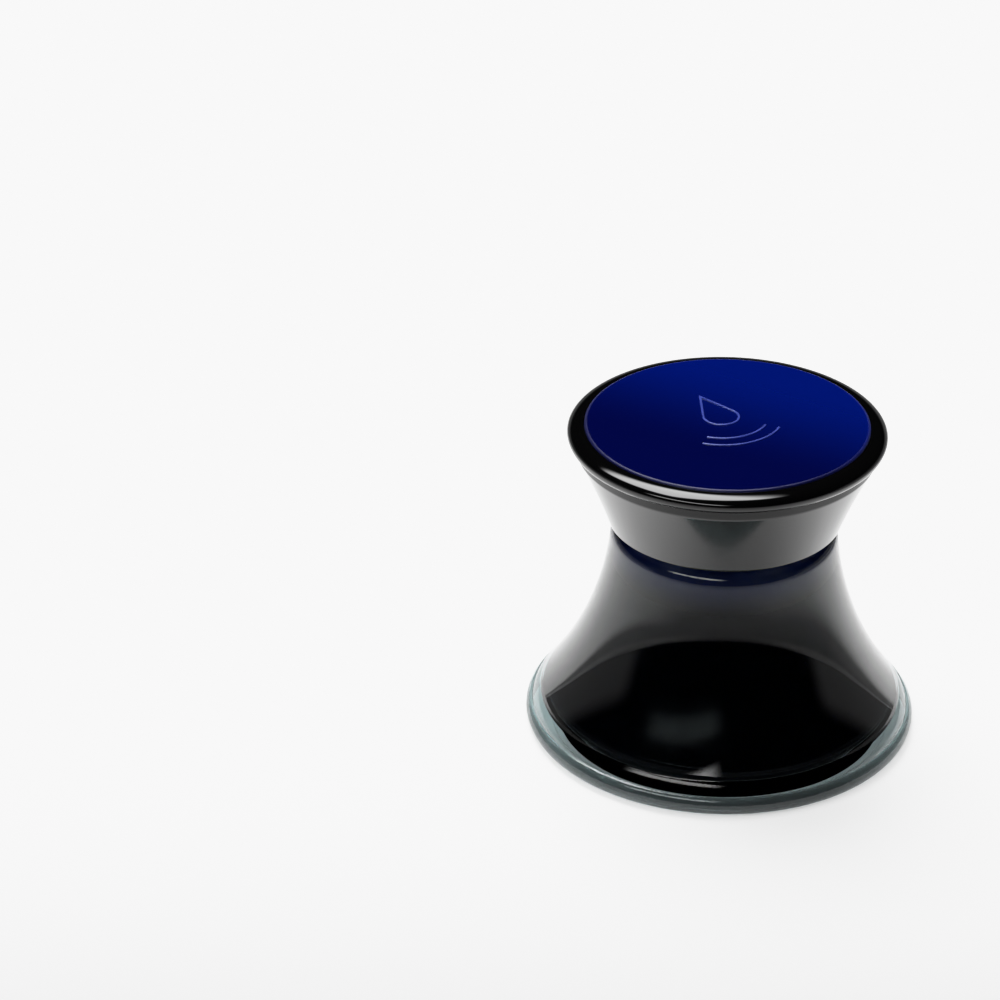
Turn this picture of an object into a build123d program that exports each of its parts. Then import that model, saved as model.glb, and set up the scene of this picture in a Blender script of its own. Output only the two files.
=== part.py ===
from build123d import *
import math
import os

# A 50 ml desk bottle for fountain pen ink, in millimetres.
# Origin: centre of the foot, on the surface that the bottle stands on. +Z is the bottle's axis, upwards.
# The bottle and its cap are turned shapes, so their outlines are drawn as (radius, height).

# Foot of the glass
foot_radius = 36.0
foot_edge_radius = 2.1
foot_edge_sweep = 145.0
standing_ring_inner_radius = 30.5
push_up_radius = 29.0
push_up_depth = 0.8
lower_ledge = (34.8, 3.9)
upper_ledge = (33.2, 6.35)
ledge_bulge = 0.2

# Flare of the glass: one large arc, narrowest near the cap
flare_radius = 64.4
flare_centre_height = 44.9
flare_narrowest_radius = 20.5
flare_bottom = 6.6

# Shoulder and neck of the glass
shoulder_height = 41.4
shoulder_edge_radius = 2.8
neck_radius = 15.0
neck_root_fillet = 0.6
neck_bore_radius = 12.0
rim_height = 54.2
rim_edge_radius = 0.8

# Cavity of the glass
wall_at_foot = 2.8
wall_at_middle = 5.2
wall_at_shoulder = 5.2
base_thickness = 3.2
cavity_corner_radius = 1.8
cavity_shoulder = 38.2
cavity_shoulder_radius = 2.5
cavity_neck = 40.8
cavity_neck_radius = 2.0

# Ink
ink_gap = 0.02
ink_level = 38.0
meniscus_height = 0.8
meniscus_width = 1.6
meniscus_bow = 0.3

# Right-handed screw thread, six turns to the inch, shared by the neck and the cap insert
thread_pitch = 25.4 / 6
thread_turns = 1.25
thread_crest_width = 1.0
thread_embed = 0.4
neck_thread_depth = 1.1
neck_thread_root_width = 2.4
neck_thread_height = 45.2
cap_thread_depth = 1.05
cap_thread_root_width = 2.2
cap_thread_drop = 1.65
cap_thread_lead_in = 0.3

# Liner and cap insert
liner_radius = 16.2
liner_thickness = 1.16
liner_gap = 0.02
insert_bore_radius = 16.4
insert_radius = 17.9
insert_bottom = 43.4
insert_plate = 1.5
liner_lip_depth = 0.5
liner_lip_height = 53.5
crush_rib_count = 24
crush_rib_width = 1.0
crush_rib_bite = 0.05
crush_rib_bottom = 44.4

# Cap shell
cap_bottom = 42.5
cap_bottom_radius = 21.3
cap_bottom_edge_radius = 0.4
skirt_middle = (24.05, 49.45)
skirt_top = (27.3, 56.4)
flange_radius = 28.85
flange_widest_height = 59.45
flange_under_radius = 1.55
flange_crown_height = 1.55
socket_radius = 18.2
socket_top = 57.0
recess_radius = 25.85
recess_floor = 59.7
pocket_inner_radius = 19.8
pocket_outer_radius = 24.2
pocket_bottom = 50.0
pocket_bottom_radius = 21.7
pocket_rib_count = 8
pocket_rib_width = 1.2

# Disc and its adhesive
adhesive_radius = 25.0
adhesive_thickness = 0.2
disc_radius = 25.75
disc_thickness = 1.4
disc_edge_radius = 0.5

# Relief on the disc: the outline of an ink drop over two ripples
relief_height = 0.12
relief_line = 0.4
relief_turn = 24.0
relief_offset = 2.5
drop_radius = 3.4
drop_height = 9.0
ripple_radii = (8.6, 11.2)
ripple_spread = 88.0

from_below = (Align.CENTER, Align.CENTER, Align.MIN)


def path(*points):
    """Straight edges from point to point."""
    return [Line(start, end) for start, end in zip(points, points[1:])]


def turned(outline, rounded=()):
    """Solid of revolution about Z; rounded lists the corners to fillet, each with its radius."""
    face = make_face(Wire(outline))
    for corner, radius in rounded:
        nearest = face.vertices().sort_by_distance(corner)[0]
        face = fillet(nearest, radius)
    return revolve(Plane.XZ * face, Axis.Z)


def flare_at(height, inset=0.0):
    """Radius of the flare at a height, on the glass surface or an inset inside it."""
    centre_radius = flare_narrowest_radius + flare_radius
    across = (flare_radius + inset) ** 2 - (height - flare_centre_height) ** 2
    return centre_radius - math.sqrt(across)


def flare_arc(bottom, top):
    """Edge of the flare between two heights, drawn upwards."""
    heights = (bottom, (bottom + top) / 2, top)
    return ThreePointArc(*[(flare_at(height), height) for height in heights])


def cavity_arc(gap):
    """Edge of the cavity's flare, drawn upwards and shrunk by a gap; the wall is thickest at the waist."""
    heights = (base_thickness, (base_thickness + cavity_shoulder) / 2, cavity_shoulder)
    walls = (wall_at_foot, wall_at_middle, wall_at_shoulder)
    full = ThreePointArc(*[(flare_at(height, wall), height) for height, wall in zip(heights, walls)])
    centre, reach = full.arc_center, full.radius + gap
    points = []
    for height in (base_thickness + gap, heights[1], cavity_shoulder):
        points.append((centre.X - math.sqrt(reach**2 - (height - centre.Y) ** 2), height))
    return ThreePointArc(*points)


def thread_ridge(root_radius, depth, root_width, start_height, start_turn):
    """Helical ridge on a round wall. A positive depth stands outwards, a negative one inwards."""
    buried = root_radius - math.copysign(thread_embed, depth)
    crest = root_radius + depth
    half_crest = thread_crest_width / 2
    flank = (root_width / 2 - half_crest) / abs(depth)
    half_buried = root_width / 2 + flank * thread_embed
    section = path(
        (buried, -half_buried),
        (crest, -half_crest),
        (crest, half_crest),
        (buried, half_buried),
        (buried, -half_buried),
    )
    helix = Helix(pitch=thread_pitch, height=thread_pitch * thread_turns, radius=root_radius)
    ridge = sweep(Plane.XZ * make_face(Wire(section)), path=helix, is_frenet=True)
    height = start_height + thread_pitch * start_turn
    return Location((0, 0, height), (0, 0, 360 * start_turn)) * ridge


def cavity(gap=0.0):
    """Hollow inside the glass, shrunk by a gap, from its floor to the open rim."""
    floor = base_thickness + gap
    bore = neck_bore_radius - gap
    flare = cavity_arc(gap)
    outline = [
        *path((0, rim_height), (0, floor), flare @ 0),
        flare,
        *path(flare @ 1, (bore, cavity_neck), (bore, rim_height), (0, rim_height)),
    ]
    corners = [
        (flare @ 0, cavity_corner_radius - gap),
        (flare @ 1, cavity_shoulder_radius - gap),
        ((bore, cavity_neck), cavity_neck_radius + gap),
    ]
    return turned(outline, corners)


def glass_bottle():
    """Clear glass body: foot, two ledges, flare, shoulder and threaded neck round the cavity."""
    foot_centre = (foot_radius - foot_edge_radius, foot_edge_radius)
    foot_edge = CenterArc(foot_centre, foot_edge_radius, -90, foot_edge_sweep)
    flare = flare_arc(flare_bottom, shoulder_height)
    outline = [
        *path((0, rim_height), (0, push_up_depth), (push_up_radius, push_up_depth)),
        *path((push_up_radius, push_up_depth), (standing_ring_inner_radius, 0), foot_edge @ 0),
        foot_edge,
        Line(foot_edge @ 1, lower_ledge),
        SagittaArc(lower_ledge, upper_ledge, -ledge_bulge),
        Line(upper_ledge, flare @ 0),
        flare,
        *path(flare @ 1, (neck_radius, shoulder_height), (neck_radius, rim_height), (0, rim_height)),
    ]
    corners = [
        (flare @ 1, shoulder_edge_radius),
        ((neck_radius, shoulder_height), neck_root_fillet),
        ((neck_radius, rim_height), rim_edge_radius),
    ]
    body = turned(outline, corners)
    ridge = thread_ridge(neck_radius, neck_thread_depth, neck_thread_root_width, neck_thread_height, 0.0)
    return body + ridge - cavity()


def ink():
    """The ink up to its level, with the meniscus where it climbs the glass."""
    meniscus_top = ink_level + meniscus_height
    ceiling_radius = flare_at(cavity_shoulder, wall_at_shoulder)
    climb = (meniscus_top - cavity_shoulder) / (cavity_neck - cavity_shoulder)
    meniscus_outer = ceiling_radius + (neck_bore_radius - ceiling_radius) * climb
    meniscus_inner = meniscus_outer - meniscus_width
    air = turned(
        [
            *path((0, rim_height), (0, ink_level), (meniscus_inner, ink_level)),
            SagittaArc((meniscus_inner, ink_level), (meniscus_outer, meniscus_top), meniscus_bow),
            *path((meniscus_outer, meniscus_top), (foot_radius, meniscus_top), (foot_radius, rim_height)),
            Line((foot_radius, rim_height), (0, rim_height)),
        ]
    )
    return cavity(ink_gap) - air


def cap_shell():
    """Black outer cap: skirt, collar, flange with a rounded crown, disc recess, socket and core pockets."""
    corner = (cap_bottom_radius, cap_bottom)
    under_centre = (flange_radius - flange_under_radius, flange_widest_height)
    under = CenterArc(under_centre, flange_under_radius, -90, 90)
    crown = EllipticalCenterArc(
        (recess_radius, flange_widest_height),
        flange_radius - recess_radius,
        flange_crown_height,
        start_angle=0,
        arc_size=90,
    )
    outline = [
        *path((0, socket_top), (socket_radius, socket_top), (socket_radius, cap_bottom), corner),
        ThreePointArc(corner, skirt_middle, skirt_top),
        Line(skirt_top, under @ 0),
        under,
        crown,
        *path(crown @ 1, (recess_radius, recess_floor), (0, recess_floor), (0, socket_top)),
    ]
    return turned(outline, [(corner, cap_bottom_edge_radius)]) - core_pockets()


def core_pockets():
    """Ring of pockets under the disc that keep the moulded shell thin, divided by radial ribs."""
    ring = turned(
        path(
            (pocket_inner_radius, pocket_bottom),
            (pocket_bottom_radius, pocket_bottom),
            (pocket_outer_radius, skirt_top[1]),
            (pocket_outer_radius, recess_floor),
            (pocket_inner_radius, recess_floor),
            (pocket_inner_radius, pocket_bottom),
        )
    )
    rib_height = recess_floor - pocket_bottom
    rib = Box(foot_radius, pocket_rib_width, rib_height, align=(Align.MIN, Align.CENTER, Align.MIN))
    for number in range(pocket_rib_count):
        ring -= Location((0, 0, pocket_bottom), (0, 0, number * 360 / pocket_rib_count)) * rib
    return ring


def cap_insert():
    """Threaded inner cap, held in the shell by crush ribs, with a lip that keeps the liner in."""
    bottom = insert_bottom
    ceiling = rim_height + liner_thickness + 2 * liner_gap
    top = ceiling + insert_plate
    lip_low = (insert_bore_radius, liner_lip_height - liner_lip_depth)
    lip_tip = (insert_bore_radius - liner_lip_depth, liner_lip_height)
    lip_high = (insert_bore_radius, liner_lip_height + liner_lip_depth)
    body = turned(
        [
            *path((0, ceiling), (insert_bore_radius, ceiling), lip_high, lip_tip, lip_low),
            *path(lip_low, (insert_bore_radius, bottom), (insert_radius, bottom), (insert_radius, top)),
            *path((insert_radius, top), (0, top), (0, ceiling)),
        ]
    )
    start_height = neck_thread_height - cap_thread_drop
    ridge = thread_ridge(
        insert_bore_radius, -cap_thread_depth, cap_thread_root_width, start_height, cap_thread_lead_in
    )
    return body + ridge + crush_ribs(top)


def crush_ribs(top):
    """Small upright ribs round the insert that bite into the shell's socket."""
    outside = socket_radius + crush_rib_bite
    rib_depth = outside - insert_radius + thread_embed
    rib_height = top - crush_rib_bottom
    rib = Box(rib_depth, crush_rib_width, rib_height, align=(Align.MAX, Align.CENTER, Align.MIN))
    ribs = []
    for number in range(crush_rib_count):
        turn = Rotation(0, 0, number * 360 / crush_rib_count)
        ribs.append(turn * Location((outside, 0, crush_rib_bottom)) * rib)
    return ribs


def cap_liner():
    """Soft round wad that seals on the rim."""
    wad = Cylinder(liner_radius, liner_thickness, align=from_below)
    return Location((0, 0, rim_height + liner_gap)) * wad


def disc_adhesive():
    """Double-sided pad under the disc."""
    pad = Cylinder(adhesive_radius, adhesive_thickness, align=from_below)
    return Location((0, 0, recess_floor)) * pad


def drop_face(radius, height):
    """Face of a drop: a round bottom and straight sides that meet in a point."""
    spread = math.degrees(math.acos(radius / height))
    round_part = CenterArc((0, 0), radius, 90 + spread, 360 - 2 * spread)
    return make_face(Wire([round_part, *path(round_part @ 1, (0, height), round_part @ 0)]))


def ripple_face(radius):
    """Face of one thin arc below the drop."""
    start = -90 - ripple_spread / 2
    outer = CenterArc((0, 0), radius, start, ripple_spread)
    inner = CenterArc((0, 0), radius - relief_line, start, ripple_spread)
    return make_face(Wire([outer, inner, Line(outer @ 0, inner @ 0), Line(outer @ 1, inner @ 1)]))


def relief():
    """Raised lines on the disc."""
    inner_scale = 1 - relief_line / drop_radius
    lines = drop_face(drop_radius, drop_height)
    lines -= drop_face(drop_radius * inner_scale, drop_height * inner_scale)
    for radius in ripple_radii:
        lines += ripple_face(radius)
    return extrude(Location((0, relief_offset, 0)) * lines, relief_height)


def cap_disc():
    """Blue disc with a rounded edge and the raised relief."""
    bottom = recess_floor + adhesive_thickness
    top = bottom + disc_thickness
    edge = (disc_radius, top)
    outline = path((0, bottom), (disc_radius, bottom), edge, (0, top), (0, bottom))
    return turned(outline, [(edge, disc_edge_radius)]) + Location((0, 0, top), (0, 0, relief_turn)) * relief()


os.makedirs("parts", exist_ok=True)
for make in (glass_bottle, ink, cap_shell, cap_insert, cap_liner, cap_disc, disc_adhesive):
    solid = make()
    print(f"{make.__name__}: {solid.volume / 1000:.2f} ml, {len(solid.solids())} solid(s)")
    export_step(solid, f"parts/{make.__name__}.step")
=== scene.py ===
import math

import bpy
from mathutils import Matrix, Vector


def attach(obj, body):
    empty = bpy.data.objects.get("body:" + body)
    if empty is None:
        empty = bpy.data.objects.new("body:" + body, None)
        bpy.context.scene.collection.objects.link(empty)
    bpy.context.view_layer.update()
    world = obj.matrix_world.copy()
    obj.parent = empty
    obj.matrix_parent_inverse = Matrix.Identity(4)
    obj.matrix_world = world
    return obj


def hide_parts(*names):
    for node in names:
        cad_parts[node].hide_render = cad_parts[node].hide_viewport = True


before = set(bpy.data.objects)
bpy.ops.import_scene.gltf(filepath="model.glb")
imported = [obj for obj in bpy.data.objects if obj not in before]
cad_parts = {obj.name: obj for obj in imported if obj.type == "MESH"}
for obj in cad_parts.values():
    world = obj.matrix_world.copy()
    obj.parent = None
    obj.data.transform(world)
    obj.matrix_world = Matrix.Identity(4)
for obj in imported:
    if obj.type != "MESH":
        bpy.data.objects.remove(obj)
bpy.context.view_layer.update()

# A 50 ml ink bottle: clear glass, near-black ink, and a flared black cap with a blue disc.
# Outlines are (radius, height) in millimetres about the bottle's axis, and become metres in the meshes.

MM = 0.001
SEGMENTS = 288
FINE = 14
COARSE = 6

# Glass
FOOT_RADIUS = 36.0
HEEL_RADIUS = 2.1
HEEL_SWEEP = 145.0
RING_INNER_RADIUS = 30.5
PUSH_UP_RADIUS = 29.0
PUSH_UP_DEPTH = 0.8
LOWER_LEDGE = (34.8, 3.9)
UPPER_LEDGE = (33.2, 6.35)
LEDGE_BULGE = 0.2
FLARE_RADIUS = 64.4
FLARE_CENTRE = (84.9, 44.9)
FLARE_BOTTOM = 6.6
SHOULDER_HEIGHT = 41.4
SHOULDER_EDGE = 2.8
NECK_RADIUS = 15.0
NECK_ROOT = 0.6
BORE_RADIUS = 12.0
BORE_EDGE = 0.2
RIM_HEIGHT = 54.2
RIM_EDGE = 0.8
WALLS = (2.8, 5.2, 5.2)
CAVITY_FLOOR = 3.2
CAVITY_CORNER = 1.8
CAVITY_SHOULDER = 38.2
CAVITY_SHOULDER_EDGE = 2.5
CAVITY_NECK = 40.8
CAVITY_NECK_EDGE = 2.0

# Thread on the neck
THREAD_PITCH = 25.4 / 6
THREAD_TURNS = 1.25
THREAD_START = 45.2
THREAD_DEPTH = 1.1
THREAD_CREST = 1.0
THREAD_ROOT = 2.4
THREAD_RUN_OUT = 0.02
NECK_ROW = 0.12

# Ink, which wets the glass, so its wall sits a hair inside the cavity's surface
INK_LEVEL = 38.0
INK_OVERLAP = 0.03
MENISCUS_HEIGHT = 0.8
MENISCUS_WIDTH = 1.6
MENISCUS_BOW = 0.3

# Cap
CAP_BOTTOM = 42.5
CAP_BOTTOM_RADIUS = 21.3
CAP_BOTTOM_EDGE = 0.4
SKIRT_MIDDLE = (24.05, 49.45)
SKIRT_TOP = (27.3, 56.4)
FLANGE_RADIUS = 28.85
FLANGE_WIDEST = 59.45
FLANGE_UNDER = 1.55
FLANGE_CROWN = 1.55
SOCKET_RADIUS = 18.2
SOCKET_TOP = 57.0
SOCKET_EDGE = 0.25
RECESS_RADIUS = 25.85
RECESS_FLOOR = 59.7

# Disc and the raised lines on it
DISC_BOTTOM = 59.9
DISC_RADIUS = 25.75
DISC_TOP = 61.3
DISC_EDGE = 0.5
LINE_HEIGHT = 0.12
LINE_WIDTH = 0.4
LINE_BEVEL = 0.05
LINE_SINK = 0.02
LINE_SHARP = 50.0
RELIEF_TURN = 24.0
RELIEF_OFFSET = 2.5
DROP_RADIUS = 3.4
DROP_HEIGHT = 9.0
RIPPLE_RADII = (8.6, 11.2)
RIPPLE_SPREAD = 88.0
RIPPLE_STEPS = 60

# Ink colour, from near black at the bottom to a blue near the surface that is painted light, with the
# heights in metres
INK_DEEP = (0.0006, 0.0009, 0.003, 1)
INK_LIT_BLUE = (0.004, 0.01, 0.06, 1)
INK_LIT_HEIGHTS = (0.031, 0.0375)

# Blue of the disc, with painted light that lightens it from one side to the other over a span in metres
DISC_DEEP = (0.0006, 0.003, 0.075, 1)
DISC_PAINTED_LIT = (0.0004, 0.012, 0.19, 1)
DISC_LEAN = (0.5, 0.866, 0.0)
DISC_FADE = (-0.012, 0.02)
DISC_MATT_EDGE = (0.0250, 0.0254)
DISC_ROUGHNESS = (0.07, 0.4)
DISC_COAT = (0.6, 0.0)
DISC_SPECKS = 2200.0
DISC_SPECK_ROUGHNESS = 0.06

# Stippled ring that the glass stands on: its top in metres and its roughness
BEARING_RING = (0.0003, 0.0009)
BEARING_ROUGHNESS = 0.5

# Relief of each surface: noise scale per metre, noise detail, depth in metres, strength
GLASS_WAVE = (60.0, 1.0, 0.00006, 0.35)
BLACK_WAVE = (90.0, 2.0, 0.00002, 0.25)
DISC_WAVE = (110.0, 2.0, 0.00002, 0.2)
INSERT_WAVE = (2500.0, 3.0, 0.00001, 0.5)
LINER_WAVE = (5000.0, 3.0, 0.00004, 0.6)
FLOOR_WAVE = (900.0, 3.0, 0.00003, 0.2)

# Roughness of each surface: noise scale per metre, lowest, highest
INK_GRAIN = (300.0, 0.08, 0.16)
BLACK_GRAIN = (2600.0, 0.03, 0.075)
RELIEF_GRAIN = (3000.0, 0.16, 0.3)
INSERT_GRAIN = (1200.0, 0.34, 0.5)
LINER_GRAIN = (4000.0, 0.75, 0.95)
PAD_GRAIN = (1800.0, 0.5, 0.7)

# Camera
CAMERA_PLACE = (-0.04082, -0.62237, 0.38616)
CAMERA_DOWN = 0.5009
CAMERA_LENS = 140.8

# Floor, in metres: the glow round the bottle, the shade under the foot, the far glow and the end in front;
# the paper's colour is painted shade, darker away from the glow and black far in front
FLOOR_DROP = 0.00004
FLOOR_SIZE = 4.0
TABLE_GLOW = 1.0
TABLE_SIDE = (0.135, 0.23)
TABLE_SHIFT = -0.04
TABLE_FRONT = (-0.22, 0.03)
FOOT_SHADE = (0.0325, 0.0368)
FOOT_SHADE_LEVEL = 0.2
PAPER_NEAR = 0.82
PAPER_SHADED = 0.6
FAR_PAPER = (0.36, 0.75)
FAR_GLOW = 0.42
FLOOR_END = (-0.9, -0.3)

# Two soft lights, with place and size in metres, and the share of each that fades at the edges
TOP_PLACE = (-0.2, 0.42, 1.1)
TOP_SIZE = (1.0, 0.9)
TOP_STRENGTH = 9.0
FRONT_PLACE = (-0.39, -0.6, 0.7)
FRONT_SIZE = (1.0, 0.24)
FRONT_STRENGTH = 4.8
LIGHT_EDGE = 0.22

# Surroundings: strengths, the heights between which the band fades, and where it starts behind
WORLD_DARK = 0.001
WORLD_PALE = 0.36
WORLD_BAND = (0.14, 0.27)
WORLD_FRONT = (-0.35, -0.1)

# Tone curve: light, and what is shown for it
TONE_WHITE = 4.0
TONE = (
    (0.03, 0.021),
    (0.1, 0.085),
    (0.2, 0.19),
    (0.5, 0.48),
    (1.0, 0.8),
    (1.4, 0.91),
    (2.4, 0.94),
    (4.0, 0.96),
)


def ellipse(centre, across, up, start, end, steps=FINE * 3):
    """Points of an ellipse between two angles in degrees."""
    turns = [math.radians(start + (end - start) * n / steps) for n in range(steps + 1)]
    return [(centre[0] + across * math.cos(t), centre[1] + up * math.sin(t)) for t in turns]


def arc(centre, radius, start, end, steps=FINE):
    """Points round a centre between two angles in degrees."""
    return ellipse(centre, radius, radius, start, end, steps)


def arc_between(centre, first, last, steps=FINE):
    """The short way round a centre from one point to another."""
    start = math.degrees(math.atan2(first[1] - centre[1], first[0] - centre[0]))
    end = math.degrees(math.atan2(last[1] - centre[1], last[0] - centre[0]))
    end += 360 * round((start - end) / 360)
    return arc(centre, math.dist(centre, first), start, end, steps)


def circle_through(first, middle, last):
    """Centre of the circle through three points."""
    (ax, ay), (bx, by), (cx, cy) = first, middle, last
    turn = 2 * (ax * (by - cy) + bx * (cy - ay) + cx * (ay - by))
    a, b, c = ax * ax + ay * ay, bx * bx + by * by, cx * cx + cy * cy
    return (
        (a * (by - cy) + b * (cy - ay) + c * (ay - by)) / turn,
        (a * (cx - bx) + b * (ax - cx) + c * (bx - ax)) / turn,
    )


def through(first, middle, last, steps=FINE * 2):
    """Arc through three points."""
    return arc_between(circle_through(first, middle, last), first, last, steps)


def bowed(first, last, bow, steps=8):
    """Arc from point to point that stands out by bow to the right of the way it goes."""
    along = (last[0] - first[0], last[1] - first[1])
    length = math.hypot(*along)
    middle = (
        (first[0] + last[0]) / 2 + bow * along[1] / length,
        (first[1] + last[1]) / 2 - bow * along[0] / length,
    )
    return through(first, middle, last, steps)


def rounded(before, corner, after, radius, steps=FINE):
    """Fillet at the corner between two straight edges."""
    p, c, q = Vector(before), Vector(corner), Vector(after)
    u, v = (p - c).normalized(), (q - c).normalized()
    half = u.angle(v) / 2
    start = c + u * (radius / math.tan(half))
    end = c + v * (radius / math.tan(half))
    centre = c + (u + v).normalized() * (radius / math.sin(half))
    return arc_between(tuple(centre), tuple(start), tuple(end), steps)


def curve_at(height, curve):
    """Radius of a flare at a height; the curve is its centre and radius."""
    (across, up), reach = curve
    return across - math.sqrt(reach**2 - (height - up) ** 2)


def flare_at(height, inset=0.0):
    """Radius of the outer flare at a height, or an inset inside it."""
    return curve_at(height, (FLARE_CENTRE, FLARE_RADIUS + inset))


def cavity_curve():
    """Centre and radius of the cavity's own flare; the wall is thicker at the waist than at the foot."""
    heights = (CAVITY_FLOOR, (CAVITY_FLOOR + CAVITY_SHOULDER) / 2, CAVITY_SHOULDER)
    points = [(flare_at(height, wall), height) for height, wall in zip(heights, WALLS)]
    centre = circle_through(*points)
    return centre, math.dist(centre, points[0])


def flare(bottom, top, curve, steps=80):
    """Points up a flare between two heights."""
    heights = [bottom + (top - bottom) * n / steps for n in range(steps + 1)]
    return [(curve_at(height, curve), height) for height in heights]


def flare_fillet(anchor, along, normal, radius, curve):
    """Fillet from a straight edge to a flare; normal points from the edge to the fillet's centre."""
    line, way, out = Vector(anchor), Vector(along).normalized(), Vector(normal).normalized()
    hub, reach = Vector(curve[0]), curve[1]
    offset = line + out * radius - hub
    b, c = offset.dot(way), offset.dot(offset) - (reach + radius) ** 2
    root = math.sqrt(b * b - c)
    centre = min((hub + offset + way * t for t in (-b - root, -b + root)), key=lambda p: (p - line).length)
    on_flare = hub + (centre - hub).normalized() * reach
    return arc_between(tuple(centre), tuple(centre - out * radius), tuple(on_flare))


def held(outline, hold=0.03, longest=0.6):
    """The outline with extra points close to the ends of its long edges, which keeps flats flat."""
    points = [outline[0]]
    for first, last in zip(outline, outline[1:]):
        length = math.dist(first, last)
        if length < 1e-6:
            continue
        if length > longest:
            for t in (hold / length, 1 - hold / length):
                points.append((first[0] + (last[0] - first[0]) * t, first[1] + (last[1] - first[1]) * t))
        points.append(last)
    return points


def add_mesh(name, vertices, faces, materials, sharp=32.0):
    """A smooth object in metres from points in millimetres, with its hard edges kept."""
    mesh = bpy.data.meshes.new(name)
    mesh.from_pydata([(x * MM, y * MM, z * MM) for x, y, z in vertices], [], faces)
    mesh.validate()
    for material in materials:
        mesh.materials.append(material)
    mesh.shade_smooth()
    mesh.set_sharp_from_angle(angle=math.radians(sharp))
    piece = bpy.data.objects.new(name, mesh)
    bpy.context.scene.collection.objects.link(piece)
    return piece


def turned(name, outline, materials, bulge=None, sharp=32.0):
    """A turned solid. The outline starts and ends on the axis and runs with the material on its left."""
    vertices, rows = [], []
    for radius, height in held(outline):
        if radius < 1e-6:
            rows.append([len(vertices)] * SEGMENTS)
            vertices.append((0.0, 0.0, height))
            continue
        rows.append(range(len(vertices), len(vertices) + SEGMENTS))
        for n in range(SEGMENTS):
            turn = 2 * math.pi * n / SEGMENTS
            out = radius + (bulge(radius, height, turn) if bulge else 0.0)
            vertices.append((out * math.cos(turn), out * math.sin(turn), height))
    faces = []
    for low, high in zip(rows, rows[1:]):
        for n in range(SEGMENTS):
            m = (n + 1) % SEGMENTS
            face = [low[n], low[m], high[m], high[n]]
            faces.append([v for i, v in enumerate(face) if v not in face[:i]])
    return add_mesh(name, vertices, faces, materials, sharp)


def thread_bulge(radius, height, turn):
    """How far the thread stands out of the neck at a height and turn."""
    if abs(radius - NECK_RADIUS) > 1e-6 or height > RIM_HEIGHT - RIM_EDGE:
        return 0.0
    most = 0.0
    for whole in (0, 1):
        turns = turn / (2 * math.pi) + whole
        if turns > THREAD_TURNS:
            continue
        off = abs(height - THREAD_START - THREAD_PITCH * turns)
        flank = (THREAD_ROOT / 2 - off) / (THREAD_ROOT / 2 - THREAD_CREST / 2)
        ends = min(turns, THREAD_TURNS - turns) / THREAD_RUN_OUT
        most = max(most, THREAD_DEPTH * max(0.0, min(1.0, flank)) * max(0.0, min(1.0, ends)))
    return most


def cavity_wall(overlap=0.0):
    """The cavity from the centre of its floor up to the bore; an overlap reaches into the glass."""
    centre, reach = cavity_curve()
    curve, floor = (centre, reach - overlap), CAVITY_FLOOR - overlap
    corner = flare_fillet((curve_at(floor, curve), floor), (1, 0), (0, 1), CAVITY_CORNER, curve)
    ceiling_end, bore_low = (curve_at(CAVITY_SHOULDER, curve), CAVITY_SHOULDER), (BORE_RADIUS, CAVITY_NECK)
    slope = (ceiling_end[0] - bore_low[0], ceiling_end[1] - bore_low[1])
    ceiling = flare_fillet(ceiling_end, slope, (slope[1], -slope[0]), CAVITY_SHOULDER_EDGE, curve)
    neck = rounded(ceiling_end, bore_low, (BORE_RADIUS, RIM_HEIGHT), CAVITY_NECK_EDGE)
    return [(0, floor), *corner, *flare(corner[-1][1], ceiling[-1][1], curve), *ceiling[::-1], *neck]


def glass_outline():
    """The glass from the centre of the push-up, up the outside, over the rim and down the cavity."""
    outside = (FLARE_CENTRE, FLARE_RADIUS)
    heel_centre = (FOOT_RADIUS - HEEL_RADIUS, HEEL_RADIUS)
    shoulder_end = (flare_at(SHOULDER_HEIGHT), SHOULDER_HEIGHT)
    shoulder = flare_fillet(shoulder_end, (1, 0), (0, -1), SHOULDER_EDGE, outside)[::-1]
    neck_low, neck_high = (NECK_RADIUS, SHOULDER_HEIGHT), (NECK_RADIUS, RIM_HEIGHT)
    bore_high, bore_low = (BORE_RADIUS, RIM_HEIGHT), (BORE_RADIUS, CAVITY_NECK)
    root = rounded(shoulder[-1], neck_low, neck_high, NECK_ROOT)
    rim = rounded(neck_low, neck_high, bore_high, RIM_EDGE)
    rows = int((rim[0][1] - root[-1][1]) / NECK_ROW)
    neck = [(NECK_RADIUS, root[-1][1] + (rim[0][1] - root[-1][1]) * n / rows) for n in range(1, rows)]
    return [
        (0, PUSH_UP_DEPTH),
        (PUSH_UP_RADIUS, PUSH_UP_DEPTH),
        (RING_INNER_RADIUS, 0),
        *arc(heel_centre, HEEL_RADIUS, -90, HEEL_SWEEP - 90, FINE * 2),
        *bowed(LOWER_LEDGE, UPPER_LEDGE, LEDGE_BULGE),
        *flare(FLARE_BOTTOM, shoulder[0][1], outside),
        *shoulder,
        *root,
        *neck,
        *rim,
        *rounded(neck_high, bore_high, bore_low, BORE_EDGE, COARSE),
        *cavity_wall()[::-1],
    ]


def ink_outline():
    """The ink from the centre of the cavity floor, up the wall to the meniscus and in over the surface."""
    top = INK_LEVEL + MENISCUS_HEIGHT
    wall = cavity_wall(INK_OVERLAP)
    wet = [point for point in wall if point[1] < top]
    low, high = wet[-1], wall[len(wet)]
    share = (top - low[1]) / (high[1] - low[1])
    edge = (low[0] + (high[0] - low[0]) * share, top)
    meniscus = bowed((edge[0] - MENISCUS_WIDTH, INK_LEVEL), edge, MENISCUS_BOW)[::-1]
    return [*wet, *meniscus, (0, INK_LEVEL)]


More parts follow.
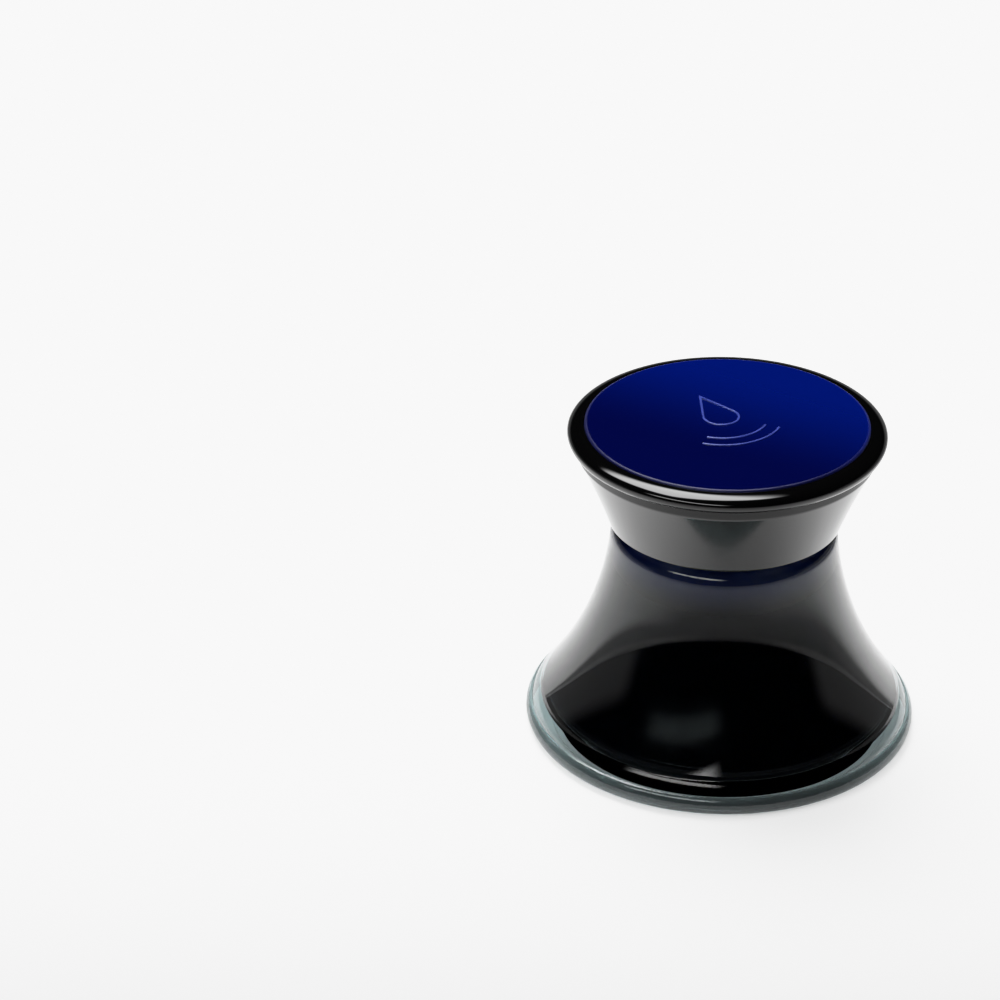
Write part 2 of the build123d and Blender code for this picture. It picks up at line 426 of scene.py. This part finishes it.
def shell_outline():
    """The cap shell from the top of its socket, round the skirt and the flange, to the disc's recess."""
    corner, inside = (CAP_BOTTOM_RADIUS, CAP_BOTTOM), (SOCKET_RADIUS, CAP_BOTTOM)
    skirt = through(corner, SKIRT_MIDDLE, SKIRT_TOP)
    under = arc((FLANGE_RADIUS - FLANGE_UNDER, FLANGE_WIDEST), FLANGE_UNDER, -90, 0, FINE * 2)
    return [
        (0, SOCKET_TOP),
        (SOCKET_RADIUS, SOCKET_TOP),
        *rounded((SOCKET_RADIUS, SOCKET_TOP), inside, corner, SOCKET_EDGE, COARSE),
        *rounded(inside, corner, skirt[1], CAP_BOTTOM_EDGE),
        *skirt[1:],
        *under,
        *ellipse((RECESS_RADIUS, FLANGE_WIDEST), FLANGE_RADIUS - RECESS_RADIUS, FLANGE_CROWN, 0, 90),
        (RECESS_RADIUS, RECESS_FLOOR),
        (0, RECESS_FLOOR),
    ]


def disc_outline():
    """The disc with its rounded edge."""
    centre = (DISC_RADIUS - DISC_EDGE, DISC_TOP - DISC_EDGE)
    return [(0, DISC_BOTTOM), (DISC_RADIUS, DISC_BOTTOM), *arc(centre, DISC_EDGE, 0, 90), (0, DISC_TOP)]


def drop_points(scale):
    """Outline of the drop: a round bottom and straight sides that meet in a point."""
    radius, height = DROP_RADIUS * scale, DROP_HEIGHT * scale
    spread = math.degrees(math.acos(radius / height))
    round_part = arc((0, 0), radius, 90 + spread, 450 - spread, FINE * 5)
    return [(0, height), *round_part]


def relief_line(name, outer, inner, closed, material):
    """One raised line on the disc between two matched outlines, with softened edges."""
    turn, base, top = math.radians(RELIEF_TURN), DISC_TOP - LINE_SINK, DISC_TOP + LINE_HEIGHT
    edge = top - LINE_BEVEL
    vertices = []
    for a, b in zip(outer, inner):
        inward = LINE_BEVEL / math.dist(a, b)
        section = ((0, base), (0, edge), (inward, top), (1 - inward, top), (1, edge), (1, base))
        for t, height in section:
            x = a[0] + (b[0] - a[0]) * t
            y = a[1] + (b[1] - a[1]) * t + RELIEF_OFFSET
            across = x * math.cos(turn) - y * math.sin(turn)
            along = x * math.sin(turn) + y * math.cos(turn)
            vertices.append((across, along, height))
    around, count = 6, len(outer)
    faces = []
    for n in range(count if closed else count - 1):
        m = (n + 1) % count
        for k in range(around):
            j = (k + 1) % around
            faces.append([n * around + k, m * around + k, m * around + j, n * around + j])
    if not closed:
        faces.append(list(range(around)))
        faces.append([(count - 1) * around + k for k in reversed(range(around))])
    return add_mesh(name, vertices, faces, [material], LINE_SHARP)


def new_material(name, **inputs):
    """A Principled material, its node tree and its shader."""
    material = bpy.data.materials.new(name)
    material.use_nodes = True
    shader = material.node_tree.nodes["Principled BSDF"]
    for key, value in inputs.items():
        shader.inputs[key.replace("_", " ")].default_value = value
    return material, material.node_tree, shader


def object_noise(tree, scale, detail=3.0):
    """Noise in the object's own metres."""
    place = tree.nodes.new("ShaderNodeTexCoord")
    noise = tree.nodes.new("ShaderNodeTexNoise")
    noise.inputs["Scale"].default_value = scale
    noise.inputs["Detail"].default_value = detail
    tree.links.new(place.outputs["Object"], noise.inputs["Vector"])
    return noise.outputs["Fac"]


def object_axes(tree, output="Object"):
    """The place of a point on each axis, as a node with an output for X, Y and Z."""
    place = tree.nodes.new("ShaderNodeTexCoord")
    split = tree.nodes.new("ShaderNodeSeparateXYZ")
    tree.links.new(place.outputs[output], split.inputs["Vector"])
    return split.outputs


def vary(tree, source, target, low, high):
    """Drives a value between two limits with a texture."""
    spread = tree.nodes.new("ShaderNodeMapRange")
    spread.inputs["To Min"].default_value = low
    spread.inputs["To Max"].default_value = high
    tree.links.new(source, spread.inputs["Value"])
    tree.links.new(spread.outputs["Result"], target)


def bump(tree, source, shader, depth, strength=1.0):
    """Surface relief of a real depth in metres."""
    node = tree.nodes.new("ShaderNodeBump")
    node.inputs["Strength"].default_value = strength
    node.inputs["Distance"].default_value = depth
    tree.links.new(source, node.inputs["Height"])
    tree.links.new(node.outputs["Normal"], shader.inputs["Normal"])


def wave(tree, shader, scale, detail, depth, strength):
    """Fine relief from noise of a scale per metre and a depth in metres."""
    bump(tree, object_noise(tree, scale, detail), shader, depth, strength)


def grain(tree, shader, scale, low, high):
    """Roughness that varies between two limits with noise of a scale per metre."""
    vary(tree, object_noise(tree, scale), shader.inputs["Roughness"], low, high)


def math_node(tree, operation, first, second=None):
    """A Math node's result; second is a value or another node's output."""
    node = tree.nodes.new("ShaderNodeMath")
    node.operation = operation
    tree.links.new(first, node.inputs[0])
    if isinstance(second, (int, float)):
        node.inputs[1].default_value = second
    elif second is not None:
        tree.links.new(second, node.inputs[1])
    return node.outputs[0]


def fade_node(tree, source, limits, values):
    """A smooth step from one value to another between two limits."""
    node = tree.nodes.new("ShaderNodeMapRange")
    node.interpolation_type = "SMOOTHSTEP"
    node.inputs["From Min"].default_value, node.inputs["From Max"].default_value = limits
    node.inputs["To Min"].default_value, node.inputs["To Max"].default_value = values
    tree.links.new(source, node.inputs["Value"])
    return node.outputs["Result"]


def clear_glass():
    """Clear glass with a faint wave, and a stippled ring where it stands."""
    material, tree, shader = new_material(
        "clear_glass", Base_Color=(0.78, 0.93, 0.94, 1), Roughness=0.0, IOR=1.52, Transmission_Weight=1.0
    )
    wave(tree, shader, *GLASS_WAVE)
    stipple = fade_node(tree, object_axes(tree)["Z"], BEARING_RING, (BEARING_ROUGHNESS, 0.0))
    tree.links.new(stipple, shader.inputs["Roughness"])
    return material


def blue_ink():
    """Ink, near black below, with painted light that turns it blue towards its surface."""
    material, tree, shader = new_material(
        "blue_ink", Base_Color=INK_DEEP, Roughness=0.12, IOR=1.34, Specular_IOR_Level=0.12
    )
    grain(tree, shader, *INK_GRAIN)
    # Painted light: the ink turns blue towards its surface.
    lit_top = fade_node(tree, object_axes(tree)["Z"], INK_LIT_HEIGHTS, (0.0, 1.0))
    mix = tree.nodes.new("ShaderNodeMix")
    mix.data_type = "RGBA"
    mix.inputs["A"].default_value = INK_DEEP
    mix.inputs["B"].default_value = INK_LIT_BLUE
    tree.links.new(lit_top, mix.inputs["Factor"])
    tree.links.new(mix.outputs["Result"], shader.inputs["Base Color"])
    return material


def black_gloss():
    """Polished black moulding."""
    material, tree, shader = new_material(
        "black_gloss", Base_Color=(0.0028, 0.0028, 0.003, 1), Roughness=0.04, IOR=1.58
    )
    wave(tree, shader, *BLACK_WAVE)
    grain(tree, shader, *BLACK_GRAIN)
    return material


def disc_blue():
    """Deep blue lacquer with painted light that lightens it across the disc, and a matt edge."""
    material, tree, shader = new_material(
        "disc_blue", Base_Color=DISC_DEEP, Roughness=0.09, IOR=1.5, Coat_Weight=0.6
    )
    shader.inputs["Coat Roughness"].default_value = 0.04
    wave(tree, shader, *DISC_WAVE)
    place = tree.nodes.new("ShaderNodeTexCoord")
    flat = tree.nodes.new("ShaderNodeVectorMath")
    flat.operation = "MULTIPLY"
    flat.inputs[1].default_value = (1.0, 1.0, 0.0)
    tree.links.new(place.outputs["Object"], flat.inputs[0])
    reach = tree.nodes.new("ShaderNodeVectorMath")
    reach.operation = "LENGTH"
    tree.links.new(flat.outputs["Vector"], reach.inputs[0])
    specks = object_noise(tree, DISC_SPECKS)
    edge = fade_node(tree, reach.outputs["Value"], DISC_MATT_EDGE, DISC_ROUGHNESS)
    fleck = math_node(tree, "MULTIPLY", specks, DISC_SPECK_ROUGHNESS)
    tree.links.new(math_node(tree, "ADD", edge, fleck), shader.inputs["Roughness"])
    coat = fade_node(tree, reach.outputs["Value"], DISC_MATT_EDGE, DISC_COAT)
    tree.links.new(coat, shader.inputs["Coat Weight"])
    # Painted light: the blue lightens towards one side of the disc.
    lean = tree.nodes.new("ShaderNodeVectorMath")
    lean.operation = "DOT_PRODUCT"
    lean.inputs[1].default_value = DISC_LEAN
    tree.links.new(place.outputs["Object"], lean.inputs[0])
    painted_light = fade_node(tree, lean.outputs["Value"], DISC_FADE, (0.0, 1.0))
    mix = tree.nodes.new("ShaderNodeMix")
    mix.data_type = "RGBA"
    mix.inputs["A"].default_value = DISC_DEEP
    mix.inputs["B"].default_value = DISC_PAINTED_LIT
    tree.links.new(painted_light, mix.inputs["Factor"])
    tree.links.new(mix.outputs["Result"], shader.inputs["Base Color"])
    return material


def relief_blue():
    """The paler blue of the raised lines."""
    material, tree, shader = new_material("relief_blue", Base_Color=(0.07, 0.1, 0.42, 1), Roughness=0.22)
    grain(tree, shader, *RELIEF_GRAIN)
    return material


def insert_plastic():
    """Plain pale plastic of the threaded insert."""
    material, tree, shader = new_material("insert_plastic", Base_Color=(0.62, 0.63, 0.62, 1), Roughness=0.4)
    wave(tree, shader, *INSERT_WAVE)
    grain(tree, shader, *INSERT_GRAIN)
    return material


def liner_foam():
    """Soft foam of the sealing liner."""
    material, tree, shader = new_material("liner_foam", Base_Color=(0.78, 0.78, 0.75, 1), Roughness=0.85)
    wave(tree, shader, *LINER_WAVE)
    grain(tree, shader, *LINER_GRAIN)
    return material


def adhesive_pad():
    """Double-sided pad under the disc."""
    material, tree, shader = new_material("adhesive_pad", Base_Color=(0.5, 0.5, 0.46, 1), Roughness=0.6)
    grain(tree, shader, *PAD_GRAIN)
    return material


def floor_paper():
    """Pale paper that glows round the bottle and far off, and fades out a long way in front; its colour is
    painted shade, darker away from the glow and black far in front.
    """
    material, tree, shader = new_material("floor_paper", Base_Color=(0.82, 0.82, 0.82, 1), Roughness=0.9)
    shader.inputs["Specular IOR Level"].default_value = 0.1
    shader.inputs["Emission Color"].default_value = (1.0, 1.0, 1.0, 1)
    wave(tree, shader, *FLOOR_WAVE)
    place = tree.nodes.new("ShaderNodeTexCoord")
    split = tree.nodes.new("ShaderNodeSeparateXYZ")
    tree.links.new(place.outputs["Object"], split.inputs["Vector"])
    side = math_node(tree, "ABSOLUTE", math_node(tree, "SUBTRACT", split.outputs["X"], TABLE_SHIFT))
    across = fade_node(tree, side, TABLE_SIDE, (1.0, 0.0))
    along = fade_node(tree, split.outputs["Y"], TABLE_FRONT, (0.0, 1.0))
    reach = tree.nodes.new("ShaderNodeVectorMath")
    reach.operation = "LENGTH"
    tree.links.new(place.outputs["Object"], reach.inputs[0])
    shade = fade_node(tree, reach.outputs["Value"], FOOT_SHADE, (FOOT_SHADE_LEVEL, 1.0))
    spread = math_node(tree, "MULTIPLY", across, along)
    near = math_node(tree, "MULTIPLY", math_node(tree, "MULTIPLY", spread, shade), TABLE_GLOW)
    ahead = fade_node(tree, split.outputs["Y"], FLOOR_END, (0.0, 1.0))
    far = fade_node(tree, reach.outputs["Value"], FAR_PAPER, (0.0, FAR_GLOW))
    level = math_node(tree, "MAXIMUM", near, math_node(tree, "MULTIPLY", far, ahead))
    tree.links.new(level, shader.inputs["Emission Strength"])
    # Painted shade: the paper's colour darkens away from the glow and fades to black far in front.
    painted_shade = tree.nodes.new("ShaderNodeMapRange")
    painted_shade.inputs["To Min"].default_value = PAPER_SHADED
    painted_shade.inputs["To Max"].default_value = PAPER_NEAR
    tree.links.new(spread, painted_shade.inputs["Value"])
    paper = math_node(tree, "MULTIPLY", painted_shade.outputs["Result"], ahead)
    tree.links.new(paper, shader.inputs["Base Color"])
    return material


def soft_light(name, strength, edge):
    """Emission that fades out towards the edges of a unit square."""
    material = bpy.data.materials.new(name)
    material.use_nodes = True
    tree = material.node_tree
    tree.nodes.clear()
    axes = object_axes(tree)
    fades = []
    for axis in ("X", "Y"):
        fades.append(fade_node(tree, math_node(tree, "ABSOLUTE", axes[axis]), (0.5 - edge, 0.5), (1.0, 0.0)))
    level = math_node(tree, "MULTIPLY", math_node(tree, "MULTIPLY", *fades), strength)
    glow = tree.nodes.new("ShaderNodeEmission")
    tree.links.new(level, glow.inputs["Strength"])
    out = tree.nodes.new("ShaderNodeOutputMaterial")
    tree.links.new(glow.outputs[0], out.inputs["Surface"])
    return material


def sheet(name, corners, material):
    """A flat stage piece from four corners."""
    mesh = bpy.data.meshes.new(name)
    mesh.from_pydata(corners, [], [(0, 1, 2, 3)])
    mesh.materials.append(material)
    piece = bpy.data.objects.new(name, mesh)
    bpy.context.scene.collection.objects.link(piece)
    return piece


def softbox(name, centre, size, strength, edge=LIGHT_EDGE):
    """A square of soft light that faces the bottle."""
    half = 0.5
    corners = [(-half, -half, 0), (half, -half, 0), (half, half, 0), (-half, half, 0)]
    box = sheet(name, corners, soft_light(name + "_glow", strength, edge))
    place = Vector(centre)
    box.matrix_world = (
        Matrix.Translation(place)
        @ place.to_track_quat("Z", "Y").to_matrix().to_4x4()
        @ Matrix.Diagonal((size[0], size[1], 1, 1))
    )
    return box


def world_light():
    """Dark studio with a pale band low down at the back and the sides."""
    world = bpy.data.worlds.new("studio")
    bpy.context.scene.world = world
    world.use_nodes = True
    tree = world.node_tree
    axes = object_axes(tree, "Generated")
    low = fade_node(tree, axes["Z"], WORLD_BAND, (WORLD_PALE, WORLD_DARK))
    back = fade_node(tree, axes["Y"], WORLD_FRONT, (0.0, 1.0))
    tree.nodes["Background"].inputs["Color"].default_value = (1.0, 1.0, 1.0, 1)
    band = math_node(tree, "MULTIPLY", low, back)
    tree.links.new(band, tree.nodes["Background"].inputs["Strength"])


def studio():
    """Floor, lights and world."""
    half = FLOOR_SIZE / 2
    corners = [(-half, -half, 0), (half, -half, 0), (half, half, 0), (-half, half, 0)]
    floor = sheet("floor", corners, floor_paper())
    floor.location.z = -FLOOR_DROP
    softbox("top_light", TOP_PLACE, TOP_SIZE, TOP_STRENGTH)
    softbox("front_light", FRONT_PLACE, FRONT_SIZE, FRONT_STRENGTH)
    world_light()


def tone():
    """A plain view with a soft shoulder, so that the bright table doesn't clip."""
    view = bpy.context.scene.view_settings
    view.view_transform = "Standard"
    view.use_curve_mapping = True
    view.curve_mapping.white_level = (TONE_WHITE, TONE_WHITE, TONE_WHITE)
    curve = view.curve_mapping.curves[3]
    curve.points[-1].location = (1.0, TONE[-1][1])
    for light, shown in TONE[:-1]:
        curve.points.new(light / TONE_WHITE, shown)
    view.curve_mapping.update()


def camera():
    """The camera at the angle the bottle is seen from."""
    data = bpy.data.cameras.new("camera")
    data.lens = CAMERA_LENS
    data.sensor_width = 36.0
    data.clip_start = 0.01
    eye = bpy.data.objects.new("camera", data)
    bpy.context.scene.collection.objects.link(eye)
    ahead = Vector((0, math.cos(CAMERA_DOWN), -math.sin(CAMERA_DOWN)))
    level, upright = Vector((1, 0, 0)), Vector((0, math.sin(CAMERA_DOWN), math.cos(CAMERA_DOWN)))
    turn = Matrix((level, upright, -ahead)).transposed().to_4x4()
    eye.matrix_world = Matrix.Translation(Vector(CAMERA_PLACE)) @ turn
    bpy.context.scene.camera = eye


def belongs(piece, body, node):
    """Ties a visual piece to its CAD body and hides the CAD node it stands for."""
    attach(piece, body)
    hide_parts(node)


def finish_node(node, material):
    """Gives a CAD node its finish."""
    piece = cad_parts[node]
    piece.data.materials.clear()
    piece.data.materials.append(material)


def bottle():
    """Glass, ink and everything in the cap."""
    glass = turned("bottle_glass", glass_outline(), [clear_glass()], thread_bulge)
    belongs(glass, "bottle", "glass_bottle")
    belongs(turned("ink_body", ink_outline(), [blue_ink()]), "bottle", "ink")
    belongs(turned("cap_outer", shell_outline(), [black_gloss()]), "cap", "cap_shell")
    belongs(turned("cap_inlay", disc_outline(), [disc_blue()]), "cap", "cap_disc")
    light_blue, inner_scale = relief_blue(), 1 - LINE_WIDTH / DROP_RADIUS
    lines = [relief_line("relief_drop", drop_points(1.0), drop_points(inner_scale), True, light_blue)]
    start = -90 - RIPPLE_SPREAD / 2
    for number, radius in enumerate(RIPPLE_RADII):
        outer = arc((0, 0), radius, start, start + RIPPLE_SPREAD, RIPPLE_STEPS)
        inner = arc((0, 0), radius - LINE_WIDTH, start, start + RIPPLE_SPREAD, RIPPLE_STEPS)
        lines.append(relief_line(f"relief_ripple_{number + 1}", outer, inner, False, light_blue))
    for line in lines:
        belongs(line, "cap", "cap_disc")
    finish_node("cap_insert", insert_plastic())
    finish_node("cap_liner", liner_foam())
    finish_node("disc_adhesive", adhesive_pad())


bottle()
studio()
camera()
tone()
